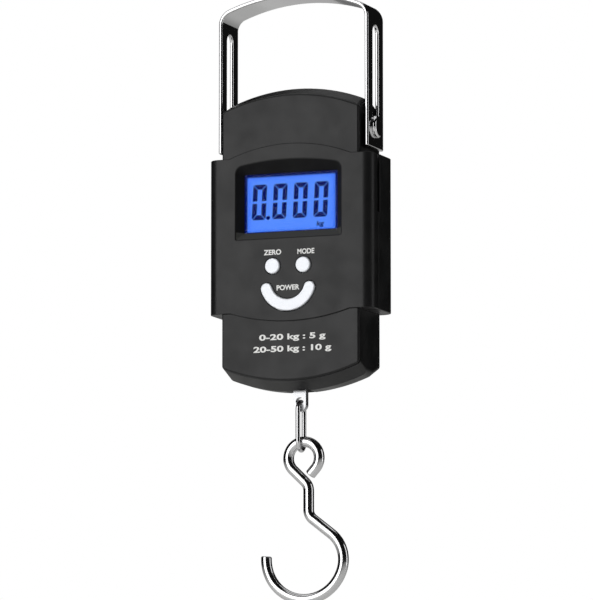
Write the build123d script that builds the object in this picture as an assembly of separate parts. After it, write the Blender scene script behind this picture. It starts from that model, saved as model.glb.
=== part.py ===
from build123d import *
import os
from math import cos, radians, sin, sqrt

# Digital hanging scale for fish: a hand-held case on a steel strap handle, with a wire hook below.
# Millimetres, +Z up, -Y towards the display. The origin is the crown of the handle's underside,
# where a hand or a peg carries the scale.

# ---- driving dimensions ----
CASE_HALF_WIDTH = 30.0
CASE_HALF_DEPTH = 12.5
CASE_CENTRE_Z = -100.5
FACE_CROWN = 58.9          # half height of the flat front and rear faces, at the middle
RIDGE_CROWN = 62.7         # half height of the case at its fattest depth, at the middle
RIDGE_HALF_DEPTH = 3.5
FACE_ROUND = 0.8           # radius of the edges of the flat faces
END_ARC_RADIUS = 77.0      # the case's ends, and the handle's arch that drops onto one of them
WALL = 2.0

BELT_HALF_WIDTH = 36.0     # the raised band round the middle of the case
BELT_HALF_DEPTH = 13.2
BELT_FRONT_ROUND = 4.6     # corner radii, seen from above
BELT_REAR_ROUND = 5.0
BELT_TOP_SIDE = CASE_CENTRE_Z + 33.4
BELT_TOP_CROWN = CASE_CENTRE_Z + 38.7
BELT_BOTTOM_SIDE = CASE_CENTRE_Z - 30.8
BELT_BOTTOM_CROWN = CASE_CENTRE_Z - 34.8
BELT_SPLIT_Y = -5.2        # front cover meets rear cover here
BELT_WALL = 1.8
SLIT_WIDTH = 2.6
SLIT_LENGTH = 24.0

PIN_Z = CASE_CENTRE_Z + 45.4
PIN_SHANK_RADIUS = 2.95
PIN_HEAD_RADIUS = 4.6
PIN_HEAD_HEIGHT = 1.5
PIN_THREAD_RADIUS = 2.5

STRAP_WIDTH = 18.4
STRAP_THICKNESS = 1.6
STRAP_INNER_X = 31.3
STRAP_BEND = 5.0           # inner radius of the two bends
STRAP_FOOT_Z = CASE_CENTRE_Z + 36.4
SLOT_WIDTH = 6.4
HANDLE_TRAVEL = 37.5
SLOT_TOP_Z = PIN_Z + PIN_SHANK_RADIUS + HANDLE_TRAVEL + 1.5

FACE_X = -0.6              # window and keys sit this far from the middle
WINDOW_CENTRE_Z = CASE_CENTRE_Z + 14.8
WINDOW_HALF_WIDTH = 20.2
WINDOW_HALF_HEIGHT = 12.0
WINDOW_DEPTH = 3.5
HOOD_HALF_WIDTH = 23.2     # the window recess where it opens on the front face
HOOD_BOTTOM_Z = CASE_CENTRE_Z - 0.5
HOOD_SIDE_Z = CASE_CENTRE_Z + 29.9
HOOD_CROWN_Z = CASE_CENTRE_Z + 32.4
HOOD_TOP_ROUND = 3.5
HOOD_LOW_ROUND = 0.8

KEY_LEFT_X = FACE_X - 6.75
KEY_RIGHT_X = FACE_X + 6.65
KEY_Z = CASE_CENTRE_Z - 11.9
KEY_RADIUS = 3.2
KEY_PROUD = 0.8
KEY_TRAVEL = 0.5
POWER_CENTRE_Z = CASE_CENTRE_Z - 18.4
POWER_RADIUS = 9.8         # centreline of the curved power key
POWER_HALF_BAND = 2.4
POWER_END_ANGLE = 17.0     # degrees below level at each end of the curve

TAB_WIDTH = 5.4
TAB_THICKNESS = 3.0
TAB_HOLE_Z = CASE_CENTRE_Z - 66.6
TAB_HOLE_RADIUS = 1.7
TAB_END_Z = TAB_HOLE_Z - 4.1

LINK_WIRE = 0.95           # wire radius
LINK_HALF_WIDTH = 3.5      # centreline
LINK_TOP_Z = TAB_HOLE_Z - 0.15
LINK_BOTTOM_Z = CASE_CENTRE_Z - 86.6

HOOK_WIRE = 2.2            # wire radius
HOOK_END_ROUND = 0.6
HOOK_EYE_X = 1.3
HOOK_EYE_RADIUS = 6.7      # centreline, like the radii below
HOOK_EYE_Z = LINK_BOTTOM_Z + LINK_HALF_WIDTH - 0.07 - HOOK_EYE_RADIUS
HOOK_EYE_FROM = -42.0      # degrees, where the eye's tail runs off straight
HOOK_EYE_TO = 226.0        # and where its neck does
HOOK_TAIL = 3.5
HOOK_STEM_X = HOOK_EYE_X + 2.1
HOOK_STEM_BEND = 5.0
HOOK_BOW_X = HOOK_EYE_X + 0.5
HOOK_BOW_Z = CASE_CENTRE_Z - 130.9
HOOK_BOW_RADIUS = 16.9
HOOK_SHOULDER_RADIUS = 13.5
HOOK_SHOULDER_FROM = 52.0  # degrees, where the shoulder starts
HOOK_SHOULDER_TO = -19.0   # and where the bow takes over from it
HOOK_POINT = -184.0

BATTERY_RADIUS = 5.25      # AAA cell
BATTERY_LENGTH = 44.5
BATTERY_X = 14.8
BATTERY_Y = 5.75

FIT = 0.05                 # gap between pieces that meet
RUNNING = 0.2              # gap round pieces that move

# ---- places worked out from them ----
COVER_BACK_Y = -11.0       # inner face of the front cover's panel
LENS_FRONT_Y = -BELT_HALF_DEPTH + WINDOW_DEPTH
LENS_BACK_Y = LENS_FRONT_Y + 0.7
GLASS_BACK_Y = LENS_BACK_Y + FIT + 1.7
LIGHT_BACK_Y = GLASS_BACK_Y + FIT + 1.2
BOARD_FRONT_Y = LIGHT_BACK_Y + FIT
BOARD_BACK_Y = BOARD_FRONT_Y + 1.0
BOARD_HALF_WIDTH = 25.5
BOARD_TOP_Z = CASE_CENTRE_Z + 31.0
BOARD_BOTTOM_Z = CASE_CENTRE_Z - 32.0
BOARD_SCREW_X = 24.3
BOARD_SCREW_Z = (CASE_CENTRE_Z + 21.0, CASE_CENTRE_Z - 25.0)
OPENING_HALF_WIDTH = 26.0  # hole in each case half behind its cover
OPENING_TOP_Z = CASE_CENTRE_Z + 32.0
OPENING_BOTTOM_Z = CASE_CENTRE_Z - 30.0
NOTCH_TOP_Z = BELT_TOP_SIDE - 0.2
NOTCH_BOTTOM_Z = BELT_BOTTOM_SIDE + 0.2
NOTCH_Y = 11.15

TRAY_TOP_Z = CASE_CENTRE_Z + 23.7
TRAY_BOTTOM_Z = CASE_CENTRE_Z - 28.7
TRAY_WALL = 1.2
TRAY_FLOOR_Y = 0.3
TRAY_BACK_Y = 11.1
TRAY_BRIDGE_Y = 4.2
POCKET_HALF_WIDTH = 5.6

CELL_HALF_WIDTH = 5.0
CELL_HALF_DEPTH = 3.6
BAR_HALF_HEIGHT = 4.0
BAR_HALF_DEPTH = 4.0
BAR_HALF_LENGTH = CASE_HALF_WIDTH - WALL - 0.1
CELL_TOP_Z = PIN_Z - BAR_HALF_HEIGHT
CELL_BOTTOM_Z = CASE_CENTRE_Z - 49.0
CELL_WINDOW_Z = CASE_CENTRE_Z
CELL_WINDOW_PITCH = 14.0
CELL_WINDOW_RADIUS = 3.4

CASE_SCREW_X = 20.0
CASE_SCREW_Z = (CASE_CENTRE_Z + 52.5, CASE_CENTRE_Z - 52.5)
BOSS_RADIUS = 2.6
SCREW_RADIUS = 1.2

DOOR_HALF_WIDTH = 23.3
DOOR_HINGE_Y = BELT_HALF_DEPTH - 0.9
DOOR_HINGE_Z = CASE_CENTRE_Z + 23.3
DOOR_BOTTOM_Z = CASE_CENTRE_Z - 28.0
DOOR_THICKNESS = 1.8
DOOR_PEG_RADIUS = 0.55


# ---- drawing helpers ----
def upright(y):
    """The plane at depth y whose local x is +X and local y is +Z."""
    return Plane(origin=(0, y, 0), x_dir=(1, 0, 0), z_dir=(0, -1, 0))


def slab(sketch, front_y, back_y):
    """A sketch drawn in X and Z, as thick as the space from front_y to back_y."""
    return extrude(upright(back_y) * sketch, back_y - front_y)


def block(x0, x1, y0, y1, z0, z1):
    return Pos((x0 + x1) / 2, (y0 + y1) / 2, (z0 + z1) / 2) * Box(x1 - x0, y1 - y0, z1 - z0)


def along_x(radius, x0, x1, y, z):
    return Pos((x0 + x1) / 2, y, z) * Rot(0, 90, 0) * Cylinder(radius, x1 - x0)


def along_y(radius, y0, y1, x, z):
    return Pos(x, (y0 + y1) / 2, z) * Rot(90, 0, 0) * Cylinder(radius, y1 - y0)


def along_z(radius, z0, z1, x, y):
    return Pos(x, y, (z0 + z1) / 2) * Cylinder(radius, z1 - z0)


def box_sketch(x0, x1, z0, z1, corner=0.0):
    plain = Pos((x0 + x1) / 2, (z0 + z1) / 2) * Rectangle(x1 - x0, z1 - z0)
    return fillet(plain.vertices(), corner) if corner else plain


def end_line(half_width, side, crown):
    if side == crown:
        return Line((-half_width, side), (half_width, side))
    return ThreePointArc((-half_width, side), (0, crown), (half_width, side))


def arched(half_width, top_side, top_crown, bottom_side, bottom_crown, corner=0.0):
    """A sketch with straight sides, and arcs for its top and bottom where crown and side differ."""
    top = end_line(half_width, top_side, top_crown)
    right = Line((half_width, top_side), (half_width, bottom_side))
    bottom = end_line(half_width, bottom_side, bottom_crown)
    left = Line((-half_width, bottom_side), (-half_width, top_side))
    drawn = make_face([top, right, bottom, left])
    return fillet(drawn.vertices(), corner) if corner else drawn


def arc_drop(radius, half_width):
    """How far an arc of this radius falls from its crown to its ends."""
    return radius - sqrt(radius**2 - half_width**2)


def case_outline(crown, inset=0.0, corner=2.0):
    half_width = CASE_HALF_WIDTH - inset
    top = crown - inset
    side = top - arc_drop(END_ARC_RADIUS - inset, half_width)
    return arched(half_width, CASE_CENTRE_Z + side, CASE_CENTRE_Z + top,
                  CASE_CENTRE_Z - side, CASE_CENTRE_Z - top, corner)


def case_block(inset=0.0):
    """The whole case as one block: flat faces, with ends that slope out to a ridge at mid depth."""
    face = case_outline(FACE_CROWN, inset, 1.6)
    ridge = case_outline(RIDGE_CROWN, inset, 3.0)
    face_y = CASE_HALF_DEPTH - inset
    middle = slab(ridge, -RIDGE_HALF_DEPTH, RIDGE_HALF_DEPTH)
    front = loft([upright(-face_y) * face, upright(-RIDGE_HALF_DEPTH) * ridge], ruled=True)
    rear = loft([upright(RIDGE_HALF_DEPTH) * ridge, upright(face_y) * face], ruled=True)
    block_ends = middle + front + rear
    if inset:
        return block_ends
    rims = block_ends.faces().sort_by(Axis.Y)[0].edges() + block_ends.faces().sort_by(Axis.Y)[-1].edges()
    return fillet(rims, FACE_ROUND)


def belt_profile(inset=0.0):
    """Plan view of the band: a rectangle, rounder at its rear corners than at its front ones."""
    plain = Rectangle(2 * (BELT_HALF_WIDTH - inset), 2 * (BELT_HALF_DEPTH - inset))
    plain = fillet(plain.vertices().group_by(Axis.Y)[0], BELT_FRONT_ROUND - inset)
    return fillet(plain.vertices().group_by(Axis.Y)[-1], BELT_REAR_ROUND - inset)


def belt_prism(inset, bottom_z, top_z):
    return extrude(Pos(0, 0, bottom_z) * belt_profile(inset), top_z - bottom_z)


def belt_block():
    """The band without its hollow: its faces are arched within the width of the case."""
    plain = belt_prism(0, BELT_BOTTOM_SIDE, BELT_TOP_SIDE)
    arch_half_width = CASE_HALF_WIDTH - 1.0
    arches = arched(arch_half_width, BELT_TOP_SIDE - 1.0, BELT_TOP_CROWN,
                    BELT_BOTTOM_SIDE + 1.0, BELT_BOTTOM_CROWN)
    return plain + slab(arches, -BELT_HALF_DEPTH, BELT_HALF_DEPTH)


# ---- the case ----
def tab_mouth():
    """The hole in the case's lower end, countersunk, that the hook's tab comes out of."""
    low_z = CASE_CENTRE_Z - RIDGE_CROWN
    shaft = block(-3.1, 3.1, -2.0, 2.0, low_z - 2, low_z + 8)
    wide = Plane.XY.offset(low_z - 1.0) * Rectangle(13.4, 10.4)
    narrow = Plane.XY.offset(low_z + 2.2) * Rectangle(6.2, 4.0)
    return shaft + loft([wide, narrow], ruled=True)


def case_bosses(front_y, back_y):
    """The four posts that the case screws run in, trimmed to the inside of the case."""
    posts = [along_y(BOSS_RADIUS, front_y, back_y, x, z)
             for x in (-CASE_SCREW_X, CASE_SCREW_X) for z in CASE_SCREW_Z]
    return Part() + posts


def case_shell():
    """Both halves of the case as one hollow shell, with the openings they share."""
    shell = case_block() - case_block(WALL)
    shell += case_bosses(-CASE_HALF_DEPTH + 1, CASE_HALF_DEPTH - 1) & case_block(1.0)
    for side in (-1, 1):
        edge = sorted((side * NOTCH_Y, side * (CASE_HALF_DEPTH + 1)))
        shell -= block(-CASE_HALF_WIDTH - 1, CASE_HALF_WIDTH + 1, *edge, NOTCH_BOTTOM_Z, NOTCH_TOP_Z)
        hole = sorted((side * (NOTCH_Y - 1.5), side * (CASE_HALF_DEPTH + 1)))
        shell -= block(-OPENING_HALF_WIDTH, OPENING_HALF_WIDTH, *hole, OPENING_BOTTOM_Z, OPENING_TOP_Z)
    shell -= tab_mouth()
    shell -= along_x(PIN_THREAD_RADIUS + RUNNING, -CASE_HALF_WIDTH - 1, CASE_HALF_WIDTH + 1, 0, PIN_Z)
    return shell


def edge_groove():
    """The fine line moulded round the ends of the front face, just behind its edge."""
    line_y = -CASE_HALF_DEPTH + 0.6
    line_width = 0.7
    keep = case_outline(FACE_CROWN - 0.45, 0, 1.6)
    around = box_sketch(-CASE_HALF_WIDTH, CASE_HALF_WIDTH, CASE_CENTRE_Z - RIDGE_CROWN - 2,
                        CASE_CENTRE_Z + RIDGE_CROWN + 2)
    return slab(around - keep, line_y, line_y + line_width)


def case_half(shell, front):
    """One half of the case; the front half also makes room for the power key's flange."""
    reach = CASE_HALF_DEPTH + 1
    y0, y1 = (-reach, 0) if front else (0, reach)
    half = shell & block(-40, 40, y0, y1, CASE_CENTRE_Z - 70, CASE_CENTRE_Z + 70)
    for x in (-CASE_SCREW_X, CASE_SCREW_X):
        for z in CASE_SCREW_Z:
            if front:
                half -= along_y(SCREW_RADIUS + 0.02, -CASE_HALF_DEPTH + 3, 0.1, x, z)
            else:
                half -= along_y(SCREW_RADIUS + RUNNING, -0.1, reach, x, z)
                half -= along_y(2.4, CASE_HALF_DEPTH - 3, reach, x, z)
    if front:
        half -= edge_groove()
        half -= power_band(POWER_HALF_BAND + 1.1, -reach, COVER_BACK_Y + 1.6)
    return half


def case_screws():
    """Four self-tapping screws, heads sunk in the rear."""
    screws = []
    for x in (-CASE_SCREW_X, CASE_SCREW_X):
        for z in CASE_SCREW_Z:
            seat_y = CASE_HALF_DEPTH - 3
            head = along_y(2.2, seat_y + 0.02, seat_y + 1.8, x, z)
            shank = along_y(SCREW_RADIUS, -8.0, seat_y + 0.02, x, z)
            slot_a = block(x - 1.3, x + 1.3, seat_y + 1.1, seat_y + 2.5, z - 0.25, z + 0.25)
            slot_b = block(x - 0.25, x + 0.25, seat_y + 1.1, seat_y + 2.5, z - 1.3, z + 1.3)
            screws.append(head + shank - slot_a - slot_b)
    return Compound(children=screws)


# ---- the band's two covers ----
def cover_pockets():
    """The hollow on each side of the case that the handle's legs drop into."""
    floor_z = CASE_CENTRE_Z - 4.0
    hollow = belt_prism(BELT_WALL, floor_z, BELT_TOP_SIDE + 5)
    lower = belt_prism(BELT_WALL, BELT_BOTTOM_SIDE + BELT_WALL, floor_z - BELT_WALL)
    slot_y = STRAP_WIDTH / 2 + 0.8
    reach = BELT_HALF_WIDTH + 1
    return (hollow + lower) & block(-reach, reach, -slot_y, slot_y, BELT_BOTTOM_SIDE, BELT_TOP_SIDE + 5)


def belt_shell():
    """Both covers as one: the band less the case it wraps and the pockets for the handle."""
    gap = 0.05
    top_z = NOTCH_TOP_Z - gap
    bottom_z = NOTCH_BOTTOM_Z + gap
    reach = CASE_HALF_DEPTH + gap
    case_zone = block(-CASE_HALF_WIDTH - gap, CASE_HALF_WIDTH + gap, -reach, reach,
                      BELT_BOTTOM_CROWN - 1, BELT_TOP_CROWN + 1)
    behind_panel = NOTCH_Y + gap
    shell = belt_block() - case_zone - cover_pockets()
    for side in (-1, 1):
        thick = sorted((side * behind_panel, side * (reach + 0.1)))
        shell += block(-CASE_HALF_WIDTH - 0.1, CASE_HALF_WIDTH + 0.1, *thick, bottom_z, top_z)
    return shell


def belt_slits():
    """The open slit down each side of the band, on the line where the two covers meet."""
    y0 = BELT_SPLIT_Y - SLIT_WIDTH / 2
    z0 = BELT_TOP_SIDE - SLIT_LENGTH
    cuts = [block(x - 4, x + 4, y0, y0 + SLIT_WIDTH, z0, BELT_TOP_SIDE + 1)
            for x in (-BELT_HALF_WIDTH, BELT_HALF_WIDTH)]
    return Part() + cuts


def window_hood():
    """The sloping recess from the front face down to the window."""
    mouth = arched(HOOD_HALF_WIDTH, HOOD_SIDE_Z, HOOD_CROWN_Z, HOOD_BOTTOM_Z, HOOD_BOTTOM_Z)
    mouth = fillet(mouth.vertices().sort_by(Axis.Y)[-2:], HOOD_TOP_ROUND)
    mouth = fillet(mouth.vertices().sort_by(Axis.Y)[:2], HOOD_LOW_ROUND)
    low_z = WINDOW_CENTRE_Z - WINDOW_HALF_HEIGHT
    high_z = WINDOW_CENTRE_Z + WINDOW_HALF_HEIGHT
    pane = box_sketch(-WINDOW_HALF_WIDTH, WINDOW_HALF_WIDTH, low_z, high_z, 0.4)
    ends = [upright(-BELT_HALF_DEPTH) * mouth, upright(LENS_FRONT_Y) * pane]
    return Pos(FACE_X, 0, 0) * loft(ends, ruled=True)


def power_band(half_band, y0, y1):
    """The curved bar of the power key, with round ends."""
    start, end = 180 + POWER_END_ANGLE, 360 - POWER_END_ANGLE
    spread = end - start
    ring = CenterArc((0, POWER_CENTRE_Z), POWER_RADIUS + half_band, start, spread)
    inner = CenterArc((0, POWER_CENTRE_Z), POWER_RADIUS - half_band, start, spread)
    angle = radians(POWER_END_ANGLE)
    tips = []
    for side, this in ((-1, 0), (1, 1)):
        cap_x = side * (POWER_RADIUS * cos(angle) - half_band * sin(angle))
        cap_z = POWER_CENTRE_Z - POWER_RADIUS * sin(angle) + half_band * cos(angle)
        tips.append(ThreePointArc(ring @ this, (cap_x, cap_z), inner @ this))
    return Pos(FACE_X, 0, 0) * slab(make_face([ring, tips[1], inner, tips[0]]), y0, y1)


def front_cover(shell):
    """The face of the band: window recess, three key holes and the posts for the board."""
    half = shell & block(-50, 50, -BELT_HALF_DEPTH - 1, BELT_SPLIT_Y, -200, 0)
    back_of_hood = LENS_FRONT_Y - 0.02
    half += block(FACE_X - HOOD_HALF_WIDTH - 1.3, FACE_X + HOOD_HALF_WIDTH + 1.3, -NOTCH_Y - 1,
                  back_of_hood, HOOD_BOTTOM_Z - 1.0, OPENING_TOP_Z - 0.1)
    for x in (-BOARD_SCREW_X, BOARD_SCREW_X):
        for z in BOARD_SCREW_Z:
            half += along_y(1.5, -NOTCH_Y - 1, BOARD_FRONT_Y - 0.02, x, z)
            half -= along_y(0.82, -NOTCH_Y, BOARD_FRONT_Y + 1, x, z)
    half -= window_hood()
    for x in (KEY_LEFT_X, KEY_RIGHT_X):
        half -= along_y(KEY_RADIUS + RUNNING, -BELT_HALF_DEPTH - 1, -8, x, KEY_Z)
    half -= power_band(POWER_HALF_BAND + RUNNING, -BELT_HALF_DEPTH - 1, -8)
    return half - belt_slits()


def rear_cover(shell):
    """The back of the band, open for the battery door and bored for its two pegs."""
    half = shell & block(-50, 50, BELT_SPLIT_Y, BELT_HALF_DEPTH + 1, -200, 0)
    half -= block(-DOOR_HALF_WIDTH - RUNNING, DOOR_HALF_WIDTH + RUNNING, 5, BELT_HALF_DEPTH + 1,
                  DOOR_BOTTOM_Z - RUNNING, DOOR_HINGE_Z + 1.2)
    half -= along_x(DOOR_PEG_RADIUS + 0.05, -DOOR_HALF_WIDTH - 1.6, DOOR_HALF_WIDTH + 1.6,
                    DOOR_HINGE_Y, DOOR_HINGE_Z)
    return half - belt_slits()


def battery_door():
    """Swings on pegs at its upper edge; ribs near the lower edge give the thumb a grip."""
    back = BELT_HALF_DEPTH
    front = back - DOOR_THICKNESS
    door = block(-DOOR_HALF_WIDTH, DOOR_HALF_WIDTH, front, back, DOOR_BOTTOM_Z, DOOR_HINGE_Z)
    door += along_x(DOOR_THICKNESS / 2, -DOOR_HALF_WIDTH, DOOR_HALF_WIDTH, DOOR_HINGE_Y, DOOR_HINGE_Z)
    door += along_x(DOOR_PEG_RADIUS, -DOOR_HALF_WIDTH - 1.4, DOOR_HALF_WIDTH + 1.4,
                    DOOR_HINGE_Y, DOOR_HINGE_Z)
    for rib in range(5):
        rib_z = DOOR_BOTTOM_Z + 3.0 + 1.6 * rib
        door -= along_x(0.45, -8.0, 8.0, back + 0.1, rib_z)
    return door


# ---- display and keys ----
def key_cap(x):
    """A round key: cap, retaining flange and the stem that reaches its switch."""
    cap = along_y(KEY_RADIUS, -BELT_HALF_DEPTH - KEY_PROUD, COVER_BACK_Y + 0.1, x, KEY_Z)
    cap = fillet(cap.edges().sort_by(Axis.Y)[0], 0.5)
    flange = along_y(KEY_RADIUS + 0.9, COVER_BACK_Y + 0.1, COVER_BACK_Y + 0.9, x, KEY_Z)
    stem = along_y(1.2, COVER_BACK_Y + 0.9, switch_top() - KEY_TRAVEL - 0.1, x, KEY_Z)
    return cap + flange + stem


def power_key():
    cap = power_band(POWER_HALF_BAND, -BELT_HALF_DEPTH - KEY_PROUD, COVER_BACK_Y + 0.1)
    front_edges = cap.faces().sort_by(Axis.Y)[0].edges()
    cap = fillet(front_edges, 0.5)
    flange = power_band(POWER_HALF_BAND + 0.6, COVER_BACK_Y + 0.1, COVER_BACK_Y + 0.9)
    stem_z = POWER_CENTRE_Z - POWER_RADIUS
    stem = along_y(1.2, COVER_BACK_Y + 0.9, switch_top() - KEY_TRAVEL - 0.1, FACE_X, stem_z)
    return cap + flange + stem


def switch_top():
    """Depth of the switches' plungers in front of the board."""
    return BOARD_FRONT_Y - 2.0


def key_switches():
    made = []
    for x, z in ((KEY_LEFT_X, KEY_Z), (KEY_RIGHT_X, KEY_Z), (FACE_X, POWER_CENTRE_Z - POWER_RADIUS)):
        can = block(x - 2.25, x + 2.25, BOARD_FRONT_Y - 1.4, BOARD_FRONT_Y, z - 2.25, z + 2.25)
        made.append(can + along_y(1.1, switch_top(), BOARD_FRONT_Y - 1.3, x, z))
    return Compound(children=made)


def display_slab(half_width, half_height, y0, y1):
    z = WINDOW_CENTRE_Z
    return block(FACE_X - half_width, FACE_X + half_width, y0, y1, z - half_height, z + half_height)


def display_frame():
    """Holds the lens, the glass and the light panel square behind the window."""
    outer = display_slab(22.1, 15.4, LENS_FRONT_Y, BOARD_FRONT_Y - 0.02)
    return outer - display_slab(21.3, 14.2, LENS_FRONT_Y - 1, BOARD_FRONT_Y + 1)


def contact_strips():
    """The two rubber strips that join the glass to the board, above and below the light panel."""
    strips = [block(-19, 19, GLASS_BACK_Y + 0.02, BOARD_FRONT_Y - 0.02, z - 0.9, z + 0.9)
              for z in (WINDOW_CENTRE_Z + 12.9, WINDOW_CENTRE_Z - 12.9)]
    return Compound(children=strips)


def circuit_board():
    board = block(-BOARD_HALF_WIDTH, BOARD_HALF_WIDTH, BOARD_FRONT_Y, BOARD_BACK_Y,
                  BOARD_BOTTOM_Z, BOARD_TOP_Z)
    for x in (-BOARD_SCREW_X, BOARD_SCREW_X):
        for z in BOARD_SCREW_Z:
            board -= along_y(0.9, BOARD_FRONT_Y - 1, BOARD_BACK_Y + 1, x, z)
    return board


def board_chips():
    """What is soldered to the rear of the board: two chips, a crystal and four capacitors."""
    y = BOARD_BACK_Y
    z = CASE_CENTRE_Z
    chips = [block(9, 19, y, y + 1.0, z - 6, z + 4), block(-17, -11, y, y + 0.9, z - 3, z + 2),
             block(-20, -12, y, y + 1.6, z + 8, z + 11)]
    chips += [block(x, x + 2, y, y + 0.8, z - 14, z - 12.8) for x in (-20, -16, 12, 16)]
    return Compound(children=chips)


def board_screws():
    made = []
    for x in (-BOARD_SCREW_X, BOARD_SCREW_X):
        for z in BOARD_SCREW_Z:
            head_x = x - 0.4 if x > 0 else x + 0.4
            head = along_y(1.15, BOARD_BACK_Y, BOARD_BACK_Y + 0.9, x, z)
            shank = along_y(0.8, -NOTCH_Y + 1, BOARD_BACK_Y, x, z)
            made.append(head + shank - block(head_x - 0.2, head_x + 0.2, BOARD_BACK_Y + 0.5,
                                             BOARD_BACK_Y + 2, z - 0.9, z + 0.9))
    return Compound(children=made)


# ---- what carries the load ----
def handle_strap():
    """A steel strap bent to a U, with a long slot down each leg that runs on the guide pins."""
    half = STRAP_THICKNESS / 2
    outer_x = STRAP_INNER_X + STRAP_THICKNESS
    outer = arched(outer_x, -arc_drop(END_ARC_RADIUS + 0.3 + 2 * half, outer_x) + 2 * half, 2 * half,
                   STRAP_FOOT_Z, STRAP_FOOT_Z)
    inner = arched(STRAP_INNER_X, -arc_drop(END_ARC_RADIUS + 0.3, STRAP_INNER_X), 0,
                   STRAP_FOOT_Z - 5, STRAP_FOOT_Z - 5)
    outer = fillet(outer.vertices().sort_by(Axis.Y)[-2:], STRAP_BEND + STRAP_THICKNESS)
    inner = fillet(inner.vertices().sort_by(Axis.Y)[-2:], STRAP_BEND)
    strap = slab(outer - inner, -STRAP_WIDTH / 2, STRAP_WIDTH / 2)
    feet = [e for e in strap.edges().filter_by(Axis.X) if abs(e.center().Z - STRAP_FOOT_Z) < 0.1]
    strap = fillet(feet, 2.0)
    slot_low = PIN_Z - PIN_SHANK_RADIUS - FIT + SLOT_WIDTH / 2
    slot_high = SLOT_TOP_Z - SLOT_WIDTH / 2
    slot = along_x(SLOT_WIDTH / 2, -50, 50, 0, slot_low) + along_x(SLOT_WIDTH / 2, -50, 50, 0, slot_high)
    slot += block(-50, 50, -SLOT_WIDTH / 2, SLOT_WIDTH / 2, slot_low, slot_high)
    return strap - slot


def guide_pin(side):
    """Shoulder screw that holds one leg of the handle and ends in the cross bar."""
    head_x = STRAP_INNER_X + STRAP_THICKNESS + 0.1
    wall_x = CASE_HALF_WIDTH + FIT
    pin = along_x(PIN_SHANK_RADIUS, wall_x, head_x, 0, PIN_Z)
    head = along_x(PIN_HEAD_RADIUS, head_x, head_x + PIN_HEAD_HEIGHT, 0, PIN_Z)
    head = fillet(head.edges().sort_by(Axis.X)[-1], 1.1)
    thread = along_x(PIN_THREAD_RADIUS, wall_x - 14, wall_x, 0, PIN_Z)
    pin = pin + head + thread
    return pin if side > 0 else mirror(pin, Plane.YZ)


def spacer_washers():
    """Plastic washers that keep the strap off the case."""
    made = []
    for side in (-1, 1):
        x0, x1 = sorted((side * (CASE_HALF_WIDTH + FIT), side * (STRAP_INNER_X - FIT)))
        bore = along_x(PIN_SHANK_RADIUS + 0.02, x0 - 1, x1 + 1, 0, PIN_Z)
        made.append(along_x(5.2, x0, x1, 0, PIN_Z) - bore)
    return Compound(children=made)


def cross_bar():
    """Steel bar across the case that the two guide pins screw into."""
    bar = block(-BAR_HALF_LENGTH, BAR_HALF_LENGTH, -BAR_HALF_DEPTH, BAR_HALF_DEPTH,
                PIN_Z - BAR_HALF_HEIGHT, PIN_Z + BAR_HALF_HEIGHT)
    bore = PIN_THREAD_RADIUS + 0.02
    for side in (-1, 1):
        x0, x1 = sorted((side * (BAR_HALF_LENGTH - 13), side * (BAR_HALF_LENGTH + 1)))
        bar -= along_x(bore, x0, x1, 0, PIN_Z)
    return bar - along_z(bore, PIN_Z - 10, PIN_Z + 10, 0, 0)


def cell_bolt():
    """Hangs the load cell from the cross bar."""
    top = PIN_Z + BAR_HALF_HEIGHT
    head = along_z(4.0, top + 0.02, top + 3.4, 0, 0)
    socket = Pos(0, 0, top + 2.7) * extrude(RegularPolygon(2.0, 6), 2)
    return head - socket + along_z(PIN_THREAD_RADIUS, CELL_TOP_Z - 9, top + 0.02, 0, 0)


def load_cell():
    """Aluminium bending beam: the double-hole window leaves thin walls for the strain gauges."""
    cell = block(-CELL_HALF_WIDTH, CELL_HALF_WIDTH, -CELL_HALF_DEPTH, CELL_HALF_DEPTH,
                 CELL_BOTTOM_Z, CELL_TOP_Z - 0.02)
    high = CELL_WINDOW_Z + CELL_WINDOW_PITCH / 2
    low = CELL_WINDOW_Z - CELL_WINDOW_PITCH / 2
    for z in (high, low):
        cell -= along_y(CELL_WINDOW_RADIUS, -10, 10, 0, z)
    cell -= block(-0.8, 0.8, -10, 10, low, high)
    bore = PIN_THREAD_RADIUS + 0.02
    cell -= along_z(bore, CELL_TOP_Z - 10, CELL_TOP_Z + 1, 0, 0)
    return cell - along_z(bore, CELL_BOTTOM_Z - 1, CELL_BOTTOM_Z + 11, 0, 0)


def strain_gauges():
    """Four foil gauges glued over the thin walls of the load cell."""
    made = []
    for side in (-1, 1):
        x0, x1 = sorted((side * CELL_HALF_WIDTH, side * (CELL_HALF_WIDTH + 0.15)))
        for z in (CELL_WINDOW_Z - CELL_WINDOW_PITCH / 2, CELL_WINDOW_Z + CELL_WINDOW_PITCH / 2):
            made.append(block(x0, x1, -2.0, 2.0, z - 3.0, z + 3.0))
    return Compound(children=made)


def hook_tab():
    """Steel stud that screws into the load cell and ends in the flat tab the link hangs from."""
    stud = along_z(PIN_THREAD_RADIUS, CELL_BOTTOM_Z - 0.02, CELL_BOTTOM_Z + 10, 0, 0)
    collar = along_z(4.2, CELL_BOTTOM_Z - 2.5, CELL_BOTTOM_Z - 0.02, 0, 0)
    half = TAB_WIDTH / 2
    blade = box_sketch(-half, half, TAB_END_Z + half, CELL_BOTTOM_Z - 2.0)
    blade += Pos(0, TAB_END_Z + half) * Circle(half)
    tab = slab(blade, -TAB_THICKNESS / 2, TAB_THICKNESS / 2)
    return stud + collar + tab - along_y(TAB_HOLE_RADIUS, -5, 5, 0, TAB_HOLE_Z)


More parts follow.
